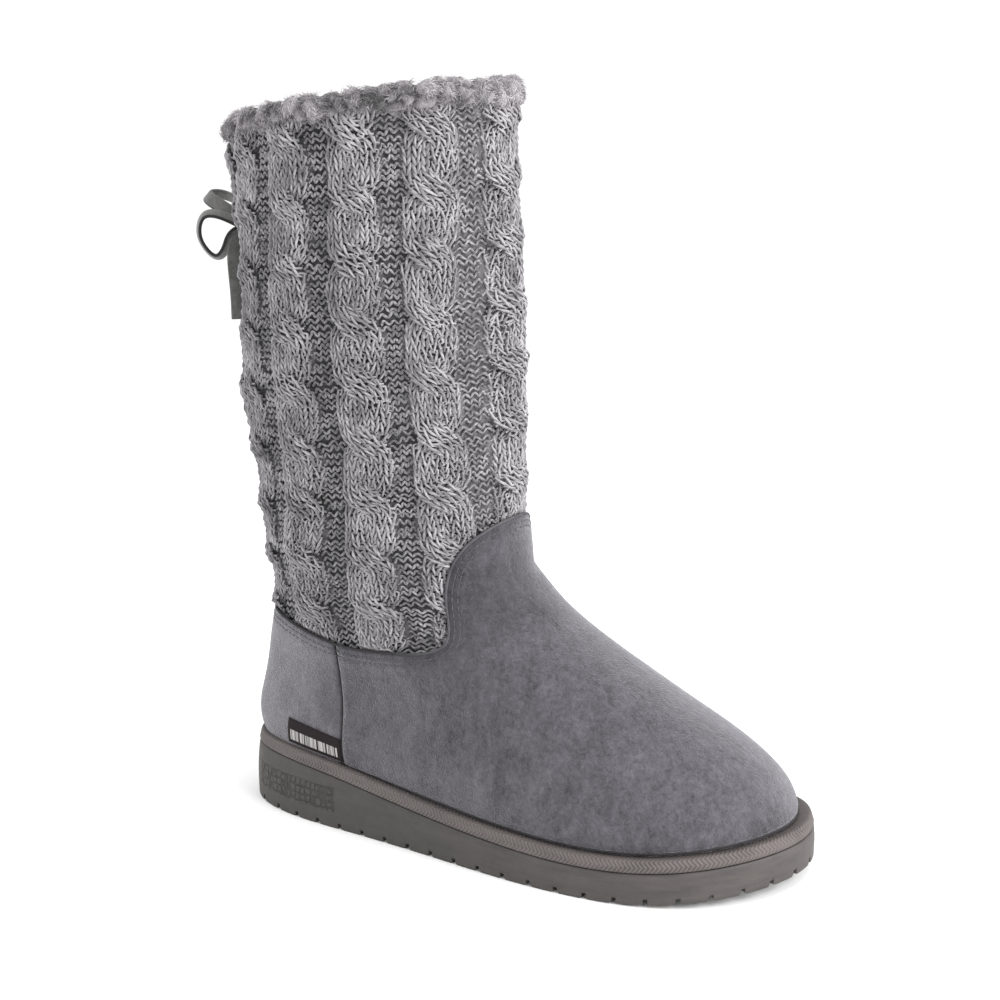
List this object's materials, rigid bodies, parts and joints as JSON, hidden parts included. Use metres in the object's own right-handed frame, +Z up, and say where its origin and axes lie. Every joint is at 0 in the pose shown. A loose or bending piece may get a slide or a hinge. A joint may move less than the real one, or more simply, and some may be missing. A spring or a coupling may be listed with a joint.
{
  "type": "knit boot",
  "caption": "Mid-calf winter boot for the right foot: suede foot, cable-knit leg, fleece lining and collar, lugged sole and a lace bow at the back.",
  "frame": {"origin": "on the ground at mid-length of the shoe, under the middle of its width", "axes": "+X to the toe, +Y to the inner side of the foot, +Z up out of the leg"},
  "size_m": [0.2979, 0.115, 0.3294],
  "materials": {
    "suede": "grey suede with a short nap",
    "knit": "marled grey yarn in a cable knit",
    "fleece": "deep curly fleece",
    "sole_rubber": "matt moulded rubber",
    "band_rubber": "textured rubber strip",
    "lace": "grey suede lace"
  },
  "bodies": {
    "root": {"outsole": "sole_rubber", "foxing_band": "band_rubber", "insole": "fleece", "upper": "suede", "shaft": "knit", "collar_fleece": "fleece", "tie_bar": "lace", "tie_knot": "lace", "tie_loop_outer": "lace", "tie_loop_inner": "lace", "tie_tail_outer": "lace", "tie_tail_inner": "lace"}
  },
  "joints": []
}
